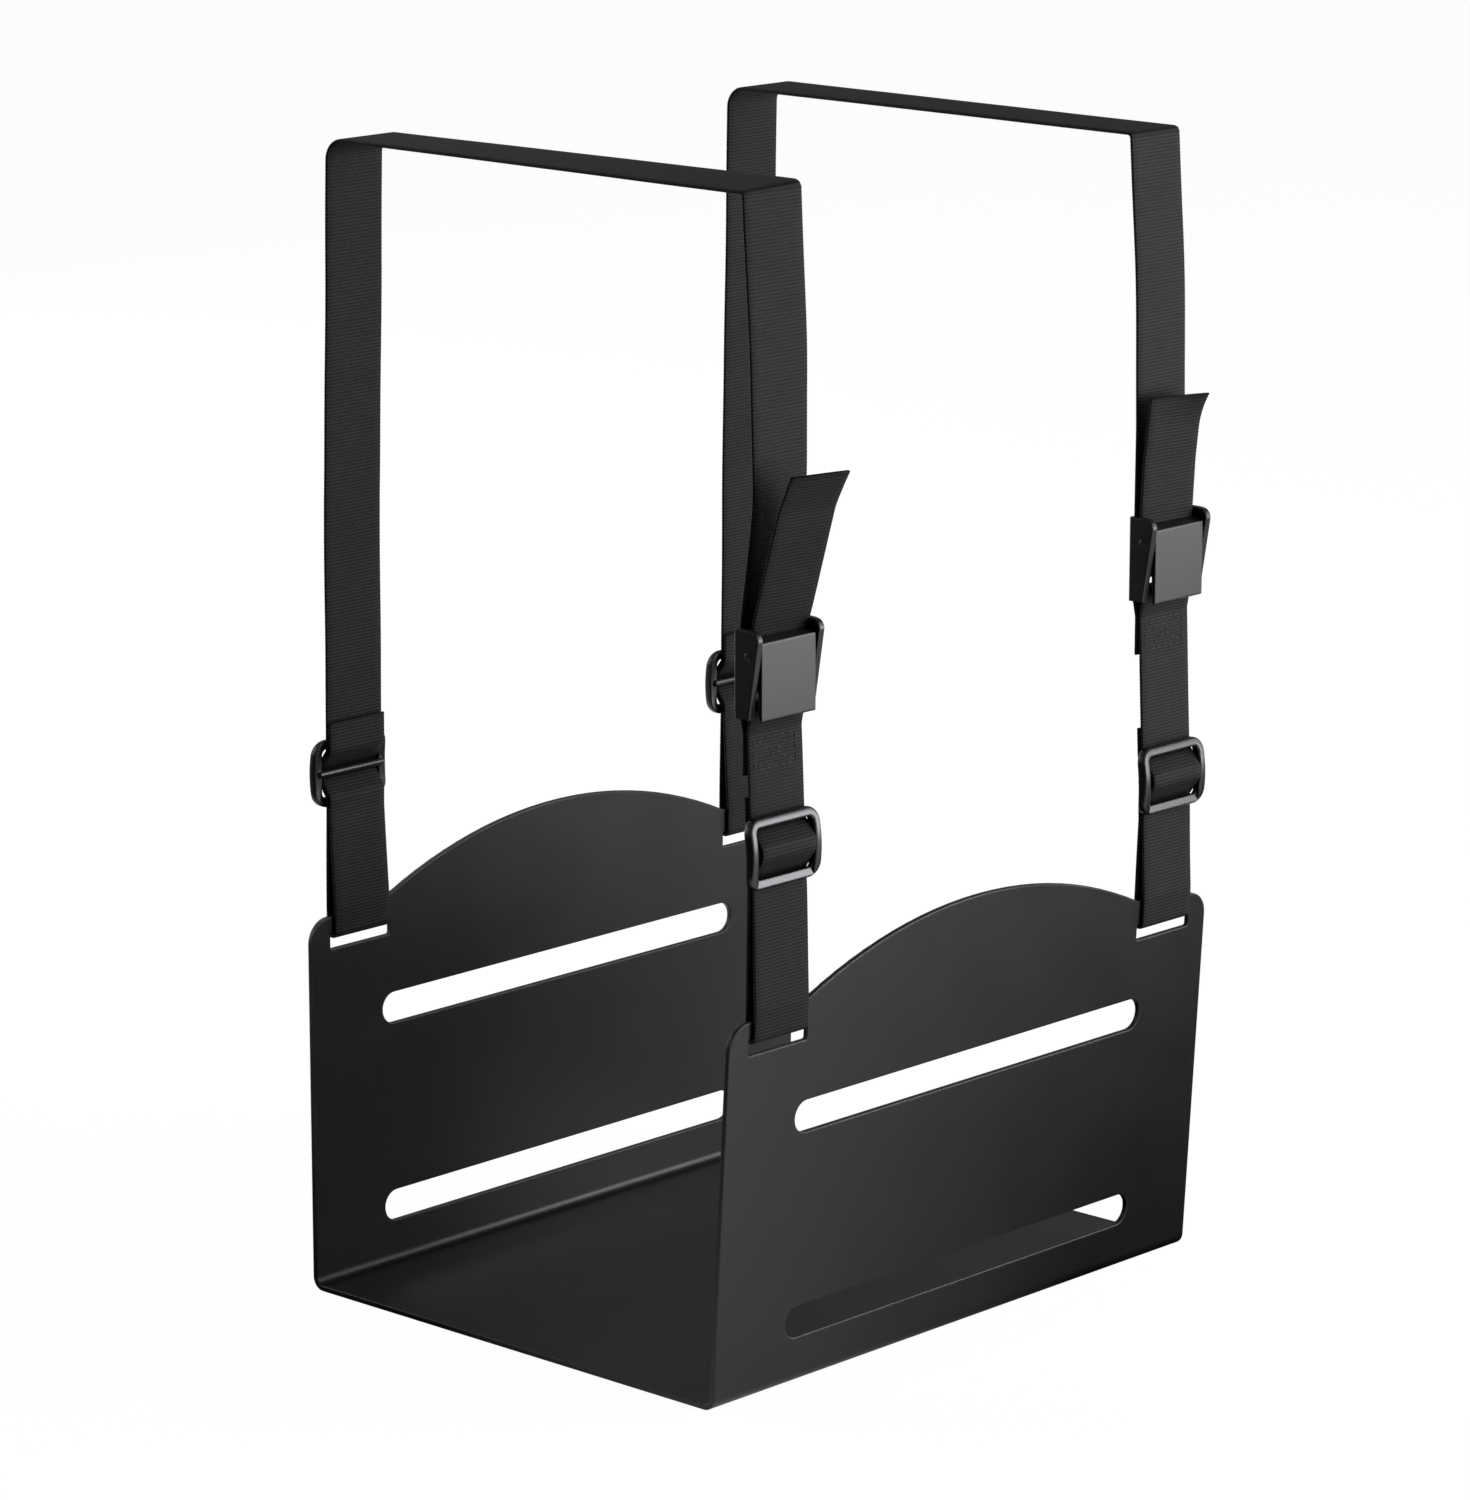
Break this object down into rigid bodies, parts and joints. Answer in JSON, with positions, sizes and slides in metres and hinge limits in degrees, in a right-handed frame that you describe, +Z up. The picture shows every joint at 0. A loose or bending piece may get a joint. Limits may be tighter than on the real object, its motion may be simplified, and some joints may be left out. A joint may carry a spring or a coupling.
{
  "type": "computer tower holder",
  "caption": "Strap-down holder for a desktop computer tower: a bent steel cradle with webbing straps over the top and press-to-release cam buckles on the front.",
  "frame": {"origin": "centre of the bracket's underside, in the plane it stands on", "axes": "+X along the width of the plates, -Y out of the front plate with the buckles, +Z up"},
  "size_m": [0.24, 0.2158, 0.3933],
  "materials": {
    "black_powder_coat": "fine satin powder coat",
    "black_webbing": "matte ribbed weave",
    "black_cast_metal": "semi-gloss black coating",
    "zinc_plated_steel": "bright plating"
  },
  "bodies": {
    "holder": {"bracket": "black_powder_coat", "left_long_strap": "black_webbing", "left_short_strap": "black_webbing", "left_buckle_frame": "black_cast_metal", "left_lever_pin": "zinc_plated_steel", "left_lever_spring": "zinc_plated_steel", "left_front_glide": "black_cast_metal", "left_rear_glide": "black_cast_metal", "right_long_strap": "black_webbing", "right_short_strap": "black_webbing", "right_buckle_frame": "black_cast_metal", "right_lever_pin": "zinc_plated_steel", "right_lever_spring": "zinc_plated_steel", "right_front_glide": "black_cast_metal", "right_rear_glide": "black_cast_metal"},
    "left_lever": {"left_cam_lever": "black_cast_metal"},
    "right_lever": {"right_cam_lever": "black_cast_metal"}
  },
  "joints": [
    {"name": "left_lever_hinge", "type": "hinge", "parent": "holder", "child": "left_lever", "pos_m": [-0.09725, -0.1013, 0.2481], "axis": [1, 0, 0], "range_deg": [0, 9], "stiffness_Nm_per_rad": 0.05, "springref_deg": -28.65},
    {"name": "right_lever_hinge", "type": "hinge", "parent": "holder", "child": "right_lever", "pos_m": [0.09725, -0.1013, 0.2561], "axis": [1, 0, 0], "range_deg": [0, 9], "stiffness_Nm_per_rad": 0.05, "springref_deg": -28.65}
  ]
}
